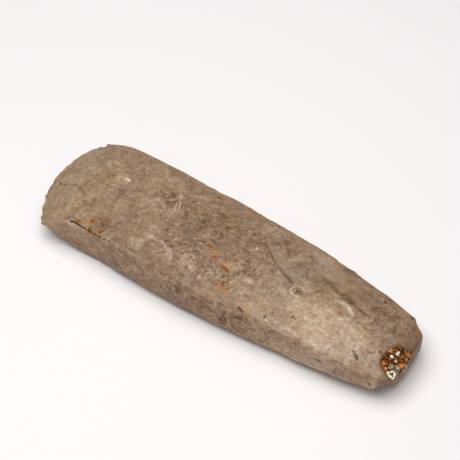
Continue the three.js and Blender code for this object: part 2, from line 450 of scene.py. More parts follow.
def close_edge(face, points):
    """Triangles that close the thin loop of the first row, zipped from the near to the far side."""
    count = len(face)
    start = int(np.argmax(face == BELLY))
    order = [(start + i) % count for i in range(count)]
    split = order.index(int(np.argmax(face == UPPER)))
    lower, upper = order[:split], [order[0]] + order[:split - 1:-1]
    below, above, found = 0, 0, []
    while below < len(lower) - 1 or above < len(upper) - 1:
        step_up = below == len(lower) - 1 or (
            above < len(upper) - 1
            and points[upper[above + 1], 1] < points[lower[below + 1], 1]
        )
        if step_up:
            found.append((lower[below], upper[above], upper[above + 1]))
            above += 1
        else:
            found.append((lower[below], upper[above], lower[below + 1]))
            below += 1
    return [t for t in found if len(set(t)) == 3]


BUTT_RINGS = 13


def butt_rings(last_row):
    """Rows that carry the skin from the rim of the blunt end to its middle."""
    middle = np.array((0.0, -0.5, MID_HEIGHT + 1.0))
    rows = []
    for share in 1 - np.arange(1, BUTT_RINGS) / BUTT_RINGS:
        row = middle + (last_row - middle) * share
        row[:, 0] = LENGTH / 2 - sagitta(BUTT_BULGE_RADIUS, row[:, 1] - BUTT_BULGE_CENTRE)
        rows.append(row)
    tip = middle.copy()
    tip[0] = LENGTH / 2 - sagitta(BUTT_BULGE_RADIUS, tip[1] - BUTT_BULGE_CENTRE)
    return rows, tip


def triangles(faces):
    return np.concatenate([
        np.asarray([f for f in faces if len(f) == 3], int).reshape(-1, 3),
        np.asarray([(f[0], f[1], f[2]) for f in faces if len(f) == 4], int).reshape(-1, 3),
        np.asarray([(f[0], f[2], f[3]) for f in faces if len(f) == 4], int).reshape(-1, 3),
    ])


def facing(points, tris):
    """Outward direction at each point."""
    a, b, c = (points[tris[:, k]] for k in range(3))
    flat = np.cross(b - a, c - a)
    total = np.zeros_like(points)
    for k in range(3):
        np.add.at(total, tris[:, k], flat)
    return total / np.maximum(np.linalg.norm(total, axis=1, keepdims=True), 1e-12)


def mesh_from(name, points, faces):
    data = bpy.data.meshes.new(name)
    data.from_pydata((points * MM).tolist(), [], faces)
    data.validate()
    return data


# ------------------------------------------------------------------ the crystal hollow
HOLLOW_AT = np.array((122.6, -10.2, 28.4))
HOLLOW_HALF = np.array((8.2, 9.4, 8.6))
HOLLOW_TURN = math.radians(-18)
HOLLOW_RIPPLE = 0.09


def hollow_turned(points, way):
    cosine, sine = math.cos(HOLLOW_TURN), way * math.sin(HOLLOW_TURN)
    x, y = points[:, 0], points[:, 1]
    return np.stack((x * cosine - y * sine, x * sine + y * cosine, points[:, 2]), axis=1)


def hollow_ripple(unit):
    x, y, z = unit.T
    return 1 + HOLLOW_RIPPLE * np.sin(4 * x + 1) * np.cos(5 * y - 2 * z)


def hollow_depth(points):
    """Millimetres inside the hollow's wall (positive) or outside it (negative)."""
    unit = hollow_turned(points - HOLLOW_AT, -1) / HOLLOW_HALF
    radius = np.linalg.norm(unit, axis=1)
    return (hollow_ripple(unit / radius[:, None]) - radius) * HOLLOW_HALF.mean()


def hollow_cutter(shift):
    """The pocket's own shape: a rippled lump with an uneven, crusted wall."""
    data = bpy.data.meshes.new("hollow_cutter")
    lump = bmesh.new()
    bmesh.ops.create_icosphere(lump, subdivisions=5, radius=1)
    unit = np.array([v.co for v in lump.verts])
    unit /= np.linalg.norm(unit, axis=1)[:, None]
    wall = unit * HOLLOW_HALF
    crust = 0.55 * layered_noise(wall, 3.2, 71) + 0.25 * soft_noise(wall, 1.1, 75)
    radius = hollow_ripple(unit) + crust / HOLLOW_HALF.mean()
    placed = hollow_turned(unit * radius[:, None] * HOLLOW_HALF, 1) + HOLLOW_AT + shift
    for vert, place in zip(lump.verts, placed * MM):
        vert.co = place
    lump.to_mesh(data)
    lump.free()
    return new_object("hollow_cutter", data)


def cut_hollow(stone, cutter):
    cut = stone.modifiers.new("hollow", "BOOLEAN")
    cut.operation = "DIFFERENCE"
    cut.solver = "MANIFOLD"
    cut.object = cutter
    graph = bpy.context.evaluated_depsgraph_get()
    result = bpy.data.meshes.new_from_object(stone.evaluated_get(graph))
    stone.modifiers.remove(cut)
    stone.data = result
    result.name = stone.name


# ------------------------------------------------------------------ fine relief
# how deep each kind of mark is sunk, in millimetres
SUNK = {"soot": 0.42, "slate": 0.10, "rust": 0.10, "umber": 0.07, "chalk": 0.06, "cream": -0.05}


def relief_depth(points, normals):
    """How far the surface lies under the plain form: worn facets, marks, pits and a fine tooth."""
    upper = np.clip(normals[:, 2], 0, 1)
    flank = np.clip(1.3 - np.abs(normals[:, 2]) * 1.6, 0, 1)
    waves = 0.16 * (1 + soft_noise(points * (0.55, 1, 1), 11, 21))
    tooth = (0.06 + 0.07 * flank) * (1 + layered_noise(points, 3.4, 31, 3))
    pits = np.clip(layered_noise(points, 1.9, 41, 2) - 0.36, 0, 1) * (0.35 + 0.6 * flank)
    hidden = np.clip(-normals[:, 2], 0, 1)
    plain = (waves + tooth + pits) * (1 - 0.5 * hidden) * np.clip(0.35 + upper + flank, 0, 1)
    masks = tint_masks(points)
    return np.maximum(0, plain + sum(masks[tint] * depth for tint, depth in SUNK.items()))


# ------------------------------------------------------------------ building the stone
def build_stone():
    face, place = ring_columns()
    s = ring_distances()
    grid = arris_wear(face, place, s, skin_grid(face, place, s))
    rings, tip = butt_rings(grid[-1])
    rows = np.concatenate((grid, np.array(rings)))
    points = np.vstack((rows.reshape(-1, 3), tip[None]))
    columns = len(face)
    faces = skin_faces(len(rows), columns).tolist()
    last = (len(rows) - 1) * columns
    faces += [(last + i, last + (i + 1) % columns, len(points) - 1) for i in range(columns)]
    faces += close_edge(face, points[:columns])

    for scar in SCARS:
        points = strike_flake(points, *scar)
    low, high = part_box(AXE)
    middle = np.array((low + high) / 2) / MM
    shift = (*(middle - (points.max(0) + points.min(0)) / 2)[:2], 0.0)
    points = chip_arrises(chip_edge(scar_sides(scar_faces(points))))
    tris = triangles(faces)
    normals = facing(points, tris)
    if normals[np.argmax(points[:, 2]), 2] < 0:
        faces = [tuple(reversed(f)) for f in faces]
        normals = -normals
    points = points - normals * relief_depth(points, normals)[:, None]
    points = points + np.array(shift)
    points[:, 2] = np.maximum(points[:, 2], 0)
    stone = new_object("flint_axe_stone", mesh_from("flint_axe_stone", points, faces))
    cutter = hollow_cutter(np.array(shift))
    cut_hollow(stone, cutter)
    stone.data.set_sharp_from_angle(angle=math.radians(58))
    return stone, cutter, np.array(shift)


# ------------------------------------------------------------------ stains, veins and scratches
# Each mark: place along the stone, place across it (laid out flat: past the arris it goes on
# down the side), half length, half width, turn in degrees, strength.
RINGED_SPOT = (51.5, -3.7)
MARKS = {
    # where the mottling is strongest
    "lively": (
        (0, -14, 52, 16, 0, 1.0), (-30, 8, 34, 16, 0, 0.75), (20, 12, 40, 14, 0, 0.6),
        (80, -14, 40, 18, 0, 0.75), (-78, -12, 24, 18, 0, 0.45), (-70, 14, 34, 14, 0, 0.3),
        (105, 10, 16, 16, 0, 0.6), (10, -46, 120, 13, 0, 1.0), (0, 48, 120, 13, 0, 0.6),
        (-100, 0, 26, 36, 0, 0.12),
    ),
    "cream": (
        (88, -46, 46, 15, 0, 1.0), (116, -44, 14, 14, 0, 1.0), (-98, -40, 24, 9, 0, 0.5),
        (-60, -42, 34, 9, 0, 0.25),
        (-112, 8, 14, 26, 0, 0.3), (-20, 25, 60, 5, 0, 0.2), (85, 20, 26, 6, 0, 0.25),
        (77, -17, 30, 15, 0, 1.0), (47, -21, 22, 9, 0, 0.5), (104, -18, 14, 12, 0, 0.45),
        (0, -20, 11, 5, 0, 0.15), (-32, -23.5, 7.5, 4.4, 0, 0.35), (-49, -25.6, 5.2, 4.2, 0, 0.7),
        (-40, -17.5, 6.5, 1.6, 0, 0.6), (-15, -23, 6, 3.8, 0, 0.6), (-81, 9, 8, 3.4, 0, 0.45),
        (-95, 19, 3, 2.2, 0, 0.4), (-120, 6, 7, 26, 0, 0.35), (-103, -24, 14, 8, 0, 0.3),
        (82, 3.2, 6.5, 1.3, -20, 0.9), (24, -12.5, 7, 3, 0, 0.35), (-56, 3, 12, 6, 0, 0.2),
        (-87, -36.5, 8.5, 3.4, -12, 0.9), (-93.4, -40, 1.8, 1.2, 0, 0.8),
        (15, -37.5, 6.5, 2.2, 20, 0.5), (79, -34, 6, 2, 0, 0.6), (64, -39, 1.6, 1.4, 0, 0.5),
        (116.5, -31, 4.4, 2.4, 0, 0.8), (-113, -36, 4, 1.6, 0, 0.5), (-121, -24, 2.4, 6, 25, 0.55),
        (52, 27, 9, 5, 0, 0.2), (89, 16, 4.5, 3.5, 0, 0.3), (94, 8.5, 2.2, 1.8, 0, 0.45),
    ),
    "slate": (
        (44, 8.5, 13, 9, 0, 0.9), (34, 8, 9, 5, -32, 0.8), (26, 13, 8, 4, -38, 0.5),
        (52, 16, 13, 8, 0, 0.45), (79, 1.6, 6, 2.2, -10, 0.7), (86.5, 4.2, 3.6, 1.2, -8, 0.7),
        (38, -8.5, 5.4, 5, 0, 0.5), (12, 29.5, 5, 2.2, 0, 0.4), (-11, 30, 3.4, 3, 0, 0.6),
        (88, -24, 5.2, 3.8, 0, 0.35), (113, -22.4, 3.4, 2.8, 0, 0.55), (109, 3, 4.5, 7.5, 0, 0.55),
        (46, -25, 3.6, 2.4, 0, 0.45), (90, 14, 8, 7, 0, 0.35), (-112, -2, 9, 14, 0, 0.22),
        (-66, -7, 7, 4, 0, 0.25), (6, 2, 6, 3.4, 0, 0.25), (76, -40, 12, 6, 0, 0.2),
    ),
    "umber": (
        (-18, 9, 30, 19, 0, 0.5), (-13, -2, 15, 11, 0, 0.55), (5, 15, 14, 13, 0, 0.35),
        (-19, -8, 7, 6, 0, 0.45), (34, 22, 5, 8, -25, 0.6), (105, 19, 30, 11, 0, 0.4),
        (30, 24, 8, 7, 0, 0.3), (119, 8, 8, 13, 0, 0.5), (80, 8.6, 8, 2.2, -6, 0.75),
        (64, 11.5, 7, 2.4, -8, 0.5), (-85, 24, 30, 8, 0, 0.08), (-75.5, -24, 6, 8, 0, 0.6),
        (-59, -29, 5, 2.2, 0, 0.6), (-42, -28, 3, 3.2, 0, 0.65), (-80, -14, 5, 4, 0, 0.25),
        (-6, -17, 6.5, 1.6, 0, 0.65), (-26, -20, 3, 4, 0, 0.3), (20, -8, 4.4, 4, 0, 0.4),
        (23, -15.6, 4, 1.6, 0, 0.45), (45, -3, 3, 3, 0, 0.45), (-30, 25, 16, 8, 0, 0.25),
        (64, -1, 5, 6, 0, 0.3), (100, 7.5, 4.5, 2.4, 25, 0.6), (111, 6, 2.4, 4, 0, 0.5),
        (112, -5, 5, 3.4, 20, 0.45), (-29, -30, 30, 3.5, 0, 0.4), (25, -31, 14, 2.4, 0, 0.45),
        (70, 28, 8, 3, 0, 0.35), (93, 23, 6, 2, -15, 0.5), (-77, -2, 1.6, 4.4, 0, 0.6),
        (-99, -38, 3.2, 2.2, 0, 0.6), (32, -36, 6, 2.6, 0, 0.6), (82, -37, 3, 1.6, 0, 0.7),
        (104.5, -15.5, 2.8, 3, 0, 0.3), (127.6, 0, 2.4, 40, 0, 0.75), (122, -26, 5, 5, 0, 0.5),
        (-62, -18, 14, 10, 0, 0.35), (-80, -10, 8, 5, 0, 0.3), (-20, -28, 40, 6, 0, 0.3),
        (-28, -16, 12, 6, 0, 0.35), (38, -17, 14, 7, 0, 0.35), (-14, 0, 12, 7, 0, 0.2),
        (-122, 2, 2, 6, 0, 0.3), (70, -40, 7, 4, 0, 0.4), (92, -41, 4, 2, 0, 0.4),
        (3, 21, 8, 2.2, 30, 0.4), (-47, 29, 10, 4, 0, 0.25),
    ),
    "rust": (
        (-88.5, -29.8, 2.7, 1.4, 0, 0.9), (-80.8, -26.2, 1.6, 2.2, -35, 1.0),
        (-79.6, -31.4, 1.6, 2.3, 0, 1.0), (-72.3, -29.6, 1.8, 2.0, 0, 1.0),
        (-77.5, -24.4, 1.5, 1.4, 0, 0.35), (-93, -25, 1.8, 1.3, 0, 0.3),
        (-82.5, -19, 1.0, 1.4, 0, 0.35), (-69.5, -16, 1.6, 1.1, 20, 0.4),
        (-50, -17.8, 1.5, 0.8, 35, 0.95), (-9.5, -4.7, 2.6, 1.2, -15, 0.9),
        (-3, -9.6, 2.2, 1.5, 10, 0.95), (-1.6, -7, 1.0, 1.4, 0, 0.7),
        (7, -13, 3.6, 1.6, -12, 1.0), (3.4, -12.2, 1.6, 1.0, 0, 0.8), (10.6, -21.8, 1.3, 2.2, 0, 1.0),
        (13, -25.6, 5.2, 1.6, -6, 0.5), (11, -23.8, 2.6, 3.0, 0, 0.45), (8.6, -29.4, 1.6, 1.0, 0, 0.5),
        (-2.6, 30.6, 2.4, 0.9, 0, 0.6), (-13, 22, 1.6, 1.2, 0, 0.35), (-29.6, 13.4, 2.4, 0.8, -45, 0.5),
        (4.6, -22, 1.4, 1.2, 0, 0.35), (108, -1.5, 2.6, 1.6, 30, 0.3), (79, -1.4, 3.4, 0.9, 12, 0.3),
        (100.5, -6.4, 2.2, 1.2, 0, 0.25), (26.5, 20.6, 1.6, 1.0, 0, 0.35), (122.5, 15, 1.4, 3.5, 25, 0.35),
        (-115, -22, 1.8, 1.4, 0, 0.25), (41, -20, 5, 3, 0, 0.14), (30, -27.6, 5, 1.6, 0, 0.2),
        (111.6, -9.8, 1.2, 1.6, 0, 0.3),
    ),
    "soot": (
        (-119.5, -7.5, 0.9, 0.9, 0, 1.0), (-125.6, -8, 0.8, 1.5, 0, 0.8),
        (-98.0, -31.5, 1.0, 0.9, 0, 1.0), (-96.0, -30.5, 1.1, 1.0, 0, 1.0),
        (-92.3, -32.0, 1.1, 1.0, 0, 1.0), (-103.3, 3.4, 0.8, 1.0, 0, 0.35),
        (-90, 9.3, 1.3, 0.6, 0, 0.55), (-112.5, 3, 0.7, 0.6, 0, 0.4), (-88.5, 1, 1.8, 0.5, 0, 0.4),
        (-121.5, 8, 0.5, 1.0, 0, 0.3), (-36, 18.5, 2.0, 0.7, 18, 0.55), (-57.5, 13.5, 0.8, 0.6, 0, 0.35),
        (-37, -4, 0.7, 1.0, -30, 0.55), (-22.5, 8.5, 0.9, 0.6, 0, 0.7), (-10, 0, 1.8, 0.6, -10, 0.65),
        (1.5, 10, 2.2, 0.7, 0, 0.45), (57.4, -19, 0.8, 0.6, 0, 0.75), (59.2, -19, 0.6, 0.5, 0, 0.7),
        (43.4, -26.8, 0.7, 1.1, 0, 0.7), (81.5, 7.8, 0.9, 0.6, 0, 0.75), (97.5, 21.4, 0.8, 1.3, 0, 0.6),
        (115.4, 22, 1.1, 0.8, 0, 0.8), (98.6, -18.6, 1.4, 0.8, -25, 0.6), (101.2, -20.4, 2.0, 0.9, -30, 0.85),
        (106.6, -14, 1.0, 0.5, 10, 0.6), (111.4, -10.6, 0.8, 0.8, 0, 0.8), (114, -32.8, 1.1, 1.4, 0, 0.7),
        (111.5, 6.5, 0.9, 2.6, 5, 0.45), (82, -36.6, 1.3, 0.9, 0, 0.6), (19.6, -38.4, 1.0, 1.6, 0, 0.7),
        (20, -47.4, 0.8, 1.8, 0, 0.5), (43.6, -50, 0.5, 1.8, 0, 0.4), (30, -35.6, 1.4, 0.9, 0, 0.5),
        (8.5, 35.2, 2.4, 0.5, 0, 0.5), (-49.8, 31, 1.1, 0.6, 0, 0.35), (10.8, -21.6, 0.7, 0.9, 0, 0.35),
        (*RINGED_SPOT, 1.3, 1.2, 0, 0.75), (-93, -3, 0.8, 0.6, 0, 0.3),
        (62.5, -23, 0.4, 0.5, 0, 0.4), (-14, -28.8, 2.6, 1.4, 0, 0.25), (66, -33, 0.8, 1.8, 0, 0.4),
    ),
    "chalk": (
        (-79.5, 10.7, 1.9, 0.9, 0, 1.0), (-44.2, 17.5, 0.8, 0.8, 0, 0.7), (44.9, -28.2, 0.7, 0.6, 0, 0.9),
        (15, 9.2, 0.7, 0.9, 0, 0.6), (-92, -34.4, 2.2, 1.6, 0, 0.4), (-3.5, -25.6, 1.6, 1.3, 0, 0.35),
        (2, -19.5, 1.8, 1.0, 0, 0.3), (52, 5, 3, 1.2, 0, 0.15), (116, -33.6, 2.2, 1.0, 0, 0.35),
    ),
}

def oval(x, y, long, wide, turn=0, start=0, end=360):
    """Points of an oval or a part of one, to be used as the stops of a line."""
    c, s = math.cos(math.radians(turn)), math.sin(math.radians(turn))
    steps = max(4, int((end - start) / 24))
    for k in range(steps + 1):
        a = math.radians(start + (end - start) * k / steps)
        along, across = long * math.cos(a), wide * math.sin(a)
        yield x + along * c - across * s, y + along * s + across * c


def bow(start, end, rise, steps=6):
    """Points of a bowed line between two ends, standing off the straight line by `rise`."""
    (x0, y0), (x1, y1) = start, end
    length = math.hypot(x1 - x0, y1 - y0)
    for k in range(steps + 1):
        t = k / steps
        off = 4 * rise * t * (1 - t) / length
        yield x0 + (x1 - x0) * t - (y1 - y0) * off, y0 + (y1 - y0) * t + (x1 - x0) * off


# Veins and scratches: tint, strength, half width, then the points that it passes through.
LINES = (
    ("chalk", 0.62, 0.4, (-43.9, 11.2), (-43.2, 9.0), (-42.0, 6.2)),
    ("chalk", 0.5, 0.36, (-42.2, 13.2), (-41.4, 11.0), (-40.5, 8.6)),
    ("soot", 1.0, 0.5, (-91.4, -31.3), (-89.0, -31.9), (-86.6, -32.2), (-84.0, -32.5), (-81.7, -32.7)),
    ("soot", 1.0, 0.75, (-89.4, -31.8), (-87.8, -32.1)),
    ("soot", 1.0, 0.75, (-79.2, -32.8), (-77.4, -32.9)),
    ("soot", 1.0, 0.45, (-75.0, -32.8), (-73.8, -32.8)),
    ("soot", 1.0, 0.55, (-71.4, -32.9), (-70.4, -32.9)),
    ("soot", 0.9, 0.45, (-67.8, -32.8), (-67.0, -32.7)),
    ("soot", 0.8, 0.4, (-64.8, -32.6), (-63.6, -32.4)),
    ("umber", 0.8, 0.7, (-119, -9), (-113, -7.6), (-108, -7), (-104, -8), (-98, -11)),
    ("umber", 0.55, 0.6, (-75, 0), (-70, -0.8), (-65, -1.5)),
    ("umber", 0.6, 0.5, (-60, 7), (-53, 11), (-47, 15)),
    ("umber", 0.7, 0.8, (-54, 16.5), (-51, 16.8), (-48, 16.2)),
    ("umber", 0.5, 0.45, (-55, -5), (-48, -3), (-40, -1.5), (-33, -1)),
    ("umber", 0.5, 0.45, (-59, -10), (-55, -6), (-48, -4)),
    ("umber", 0.9, 0.6, *oval(-49, -25.6, 6.4, 5.4, 14)),
    ("umber", 0.8, 0.6, *oval(-32.6, -23.8, 9.6, 6.4, -8)),
    ("rust", 0.4, 0.45, *oval(-49, -25.6, 6.8, 5.8, 14, 20, 200)),
    ("umber", 0.7, 0.5, *oval(-15.5, -26.2, 5.0, 3.2, 0)),
    ("cream", 0.7, 0.7, (-98.5, -30), (-98.5, -24), (-97, -18), (-95.5, -14)),
    ("chalk", 0.26, 0.5, (-40.5, -18.2), (-36.8, -17.4), (-32.6, -18.0), (-27.6, -19.6), (-24.4, -24)),
    ("cream", 0.7, 0.5, (-25, -27), (-20, -25.6), (-15, -27), (-9, -28.6)),
    ("umber", 1.0, 0.8, *bow((18, 15), (46, -0.5), -1.4)),
    ("umber", 0.7, 0.45, (38, 6.4), (41.5, 10.6), (46, 14.4)),
    ("umber", 0.7, 0.4, (48, 14), (50, 10), (51.6, 6.4)),
    ("cream", 1.0, 0.55, *oval(*RINGED_SPOT, 4.0, 3.6, 20)),
    ("umber", 1.0, 0.5, *oval(*RINGED_SPOT, 2.7, 2.4, 20)),
    ("chalk", 0.5, 0.4, *oval(*RINGED_SPOT, 3.5, 3.2, 20, 180, 300)),
    ("cream", 0.45, 0.4, (35, -3.2), (38, -2.6), (41, -4)),
    ("umber", 0.4, 0.4, (34, -4), (33, -8), (35.4, -12), (40, -13)),
    ("umber", 0.55, 0.5, (1, 2), (4, 5.4), (9, 5.6), (14, 3.6), (16, -0.8)),
    ("umber", 0.6, 0.5, (1, 2), (4, 0), (7, -2), (11, -1.6), (16, -1.4)),
    ("soot", 0.9, 0.4, (26.8, -29.5), (28.4, -29.9), (30, -30.6)),
    ("umber", 0.7, 0.5, (45, -30), (48, -31)),
    ("cream", 0.5, 0.4, (8, -30), (13, -28.2), (18, -29.4), (22, -31.6)),
    ("cream", 0.5, 0.4, (9, -32.4), (14, -31), (19, -32), (23, -33.8)),
    ("soot", 0.5, 0.5, (18.6, -39), (19.4, -43), (20.4, -48)),
    ("umber", 1.0, 0.9, (60, 13), (66, 11), (71.4, 9.4), (80, 8.4), (86.6, 6.4), (94.7, 5.6)),
    ("chalk", 0.35, 0.6, *bow((73, 3), (86.5, 0.5), 3)),
    ("rust", 0.5, 0.6, (79.0, -3.8), (81.4, -0.6), (85.5, -1.4)),
    ("umber", 0.6, 0.4, (93, -1.4), (96, -2.2), (99, -3.6)),
    ("umber", 0.5, 0.5, (105.6, 11), (104.6, 5), (106, 0), (110, -4)),
    ("umber", 0.6, 0.5, (104, 10.5), (107, 12.4), (110, 12.0)),
    ("umber", 0.4, 0.4, (53, -13), (55.6, -17), (52, -22)),
    ("umber", 0.4, 0.35, (49.8, -29), (52.6, -25.4)),
    ("umber", 0.45, 0.4, (59.8, -18), (61.6, -22.6)),
    ("umber", 0.5, 0.4, (-110, -33.4), (-104, -33.6), (-99, -33.0)),
    ("umber", 0.6, 0.4, (-122.5, -17), (-119.6, -22), (-117.4, -28), (-114.4, -33)),
    ("umber", 0.5, 0.5, (-8, 4), (-2, 6.4), (4, 9.8)),
    ("umber", 0.45, 0.5, (60, -30.2), (72, -30.0), (84, -28.8), (96, -28)),
    ("umber", 0.6, 0.5, (112, -25), (117, -25), (121.5, -23)),
    ("slate", 0.4, 0.5, (108, 12), (105.6, 6), (108, 0)),
)
WARP_SIZE = 3.4
WARP_REACH = 0.75


def laid_flat(points):
    """Places along and across the stone as if its skin were laid out flat, and what is under it."""
    s = points[:, 0] + LENGTH / 2
    for _ in range(4):
        s = np.clip(points[:, 0] + LENGTH / 2 - sweep(s, points[:, 1]), 0, LENGTH)
    far, near, side, _, _ = halves_at(s)
    up = points[:, 2] - MID_HEIGHT
    half = np.where(points[:, 1] > 0, far, near)
    drop = np.clip(side * 0.98 - up, 0, None)
    on_side = drop > 0
    unrolled = np.sign(points[:, 1]) * (np.minimum(np.abs(points[:, 1]), half) + drop)
    across = np.where(on_side, unrolled, points[:, 1])
    across = np.where(on_side & (np.abs(points[:, 1]) < half * 0.93), points[:, 1] * 9, across)
    return np.stack((points[:, 0], across), axis=1)


def near_line(flat, stops):
    best = np.full(len(flat), 1e9)
    for a, b in zip(stops[:-1], stops[1:]):
        a, b = np.array(a, float), np.array(b, float)
        way = b - a
        t = np.clip((flat - a) @ way / (way @ way), 0, 1)
        best = np.minimum(best, np.linalg.norm(flat - a - t[:, None] * way, axis=1))
    return best


def fade(value, start, end):
    t = np.clip((value - start) / (end - start), 0, 1)
    return t * t * (3 - 2 * t)


def tint_masks(points):
    flat = laid_flat(points)
    ragged = np.stack([layered_noise(points, WARP_SIZE, 51 + k) for k in range(2)], axis=1)
    nibbled = np.stack([soft_noise(points, 1.5, 61 + k) for k in range(2)], axis=1)
    masks = {}
    for tint, marks in MARKS.items():
        total = np.zeros(len(points))
        for x, y, long, wide, turn, strength in marks:
            reach = min(1.0, 0.28 * min(long, wide) / WARP_REACH + 0.15) * WARP_REACH
            gap = flat + ragged * reach + nibbled * 0.4 * reach - (x, y)
            c, s = math.cos(math.radians(turn)), math.sin(math.radians(turn))
            along, across = gap[:, 0] * c + gap[:, 1] * s, gap[:, 1] * c - gap[:, 0] * s
            ring = np.hypot(along / long, across / wide)
            soft = 0.55 if min(long, wide) > 3 else 0.4
            total = np.maximum(total, strength * (1 - fade(ring, 1 - soft, 1 + soft)))
        masks[tint] = total
    for tint, strength, half_width, *stops in LINES:
        gap = near_line(flat + ragged * 0.3, stops)
        masks[tint] = np.maximum(masks[tint], strength * (1 - fade(gap, half_width * 0.4, half_width * 1.7)))
    return masks


def write_mask(data, name, values):
    layer = data.attributes.new(name, "FLOAT", "POINT")
    layer.data.foreach_set("value", np.ascontiguousarray(values, np.float32))


def paint_stone(stone, shift):
    data = stone.data
    count = len(data.vertices)
    points = np.empty(count * 3)
    normals = np.empty(count * 3)
    data.vertices.foreach_get("co", points)
    data.vertices.foreach_get("normal", normals)
    points = points.reshape(-1, 3) / MM - shift
    normals = normals.reshape(-1, 3)
    pocket = hollow_depth(points)
    inside = fade(pocket, -1.6, -0.9)
    masks = tint_masks(points)
    for tint, values in masks.items():
        write_mask(data, tint, values * (1 - inside))
    # the pocket's own stains are kept apart from the rest
    write_mask(data, "pocket", fade(pocket, -1.35, -0.75))
    write_mask(data, "rim", fade(pocket, -3.6, -1.2))
    # which way each point faces: it carries the painted side-light cast, and a rougher gloss, on the sides
    write_mask(data, "flank", fade(np.abs(normals[:, 2]), 0.75, 0.35))


# ------------------------------------------------------------------ node helpers
def add(tree, kind, place=(0, 0), **settings):
    node = tree.nodes.new(kind)
    node.location = place
    for key, value in settings.items():
        setattr(node, key, value)
    return node


def feed(tree, source, socket):
    """Links a socket, or sets a plain value, on an input socket."""
    if isinstance(source, bpy.types.NodeSocket):
        tree.links.new(source, socket)
    else:
        socket.default_value = source


def calc(tree, operation, a, b=0.0, clamp=False):
    node = add(tree, "ShaderNodeMath", operation=operation, use_clamp=clamp)
    feed(tree, a, node.inputs[0])
    feed(tree, b, node.inputs[1])
    return node.outputs[0]


def vector_calc(tree, operation, *values):
    node = add(tree, "ShaderNodeVectorMath", operation=operation)
    for socket, value in zip(node.inputs, values):
        feed(tree, value, socket)
    return node.outputs[0]


def remap(tree, value, low, high, to_low=0.0, to_high=1.0, smooth=True):
    node = add(tree, "ShaderNodeMapRange")
    node.interpolation_type = "SMOOTHSTEP" if smooth else "LINEAR"
    for socket, number in zip(node.inputs, (value, low, high, to_low, to_high)):
        feed(tree, number, socket)
    return node.outputs[0]


def blend_tone(tree, factor, base, top, mode="MIX"):
    node = add(tree, "ShaderNodeMix", data_type="RGBA", blend_type=mode)
    node.clamp_factor = True
    feed(tree, factor, node.inputs["Factor"])
    feed(tree, base, node.inputs[6])
    feed(tree, top, node.inputs[7])
    return node.outputs[2]


def noise(tree, vector, scale, detail=3.0, rough=0.55, distortion=0.0):
    node = add(tree, "ShaderNodeTexNoise")
    for socket, value in (
        ("Vector", vector), ("Scale", scale), ("Detail", detail),
        ("Roughness", rough), ("Distortion", distortion),
    ):
        feed(tree, value, node.inputs[socket])
    return node.outputs["Fac"]


def swing(tree, pattern, reach):
    """A pattern of 0 to 1 turned into a change of half the reach either way."""
    return calc(tree, "MULTIPLY", calc(tree, "SUBTRACT", pattern, 0.5), reach)


def tone_ramp(tree, level, stops):
    ramp = add(tree, "ShaderNodeValToRGB")
    elements = ramp.color_ramp.elements
    while len(elements) < len(stops):
        elements.new(0.5)
    for element, (where, tone) in zip(elements, stops):
        element.position = where
        element.color = (*tone, 1)
    feed(tree, level, ramp.inputs["Fac"])
    return ramp.outputs["Color"]


def mask_value(tree, name):
    return add(tree, "ShaderNodeAttribute", attribute_name=name).outputs["Fac"]


def start_group(name, inputs, outputs):
    group = bpy.data.node_groups.new(name, "ShaderNodeTree")
    for title, kind, value in inputs:
        socket = group.interface.new_socket(title, in_out="INPUT", socket_type=kind)
        if value is not None:
            socket.default_value = value
    for title, kind in outputs:
        group.interface.new_socket(title, in_out="OUTPUT", socket_type=kind)
    entry = add(group, "NodeGroupInput", (-600, 0))
    leave = add(group, "NodeGroupOutput", (600, 0))
    return group, entry.outputs, leave.inputs


def use_group(tree, group, **values):
    node = add(tree, "ShaderNodeGroup", node_tree=group)
    for title, value in values.items():
        feed(tree, value, node.inputs[title.replace("_", " ")])
    return node.outputs


FLOAT, VECTOR = "NodeSocketFloat", "NodeSocketVector"


def ragged_edge_group():
    """A soft stain turned into one with a broken, grainy edge."""
    group, given, out = start_group(
        "ragged_edge",
        (("Stain", FLOAT, 0.0), ("Grain", FLOAT, 0.5), ("Raggedness", FLOAT, 0.5)),
        (("Mask", FLOAT),),
    )
    broken = calc(group, "MULTIPLY", calc(group, "SUBTRACT", given["Grain"], 0.5), given["Raggedness"])
    swung = calc(group, "ADD", calc(group, "MULTIPLY", broken, 2.0), 1.0)
    group.links.new(calc(group, "MULTIPLY", given["Stain"], swung, clamp=True), out["Mask"])
    return group


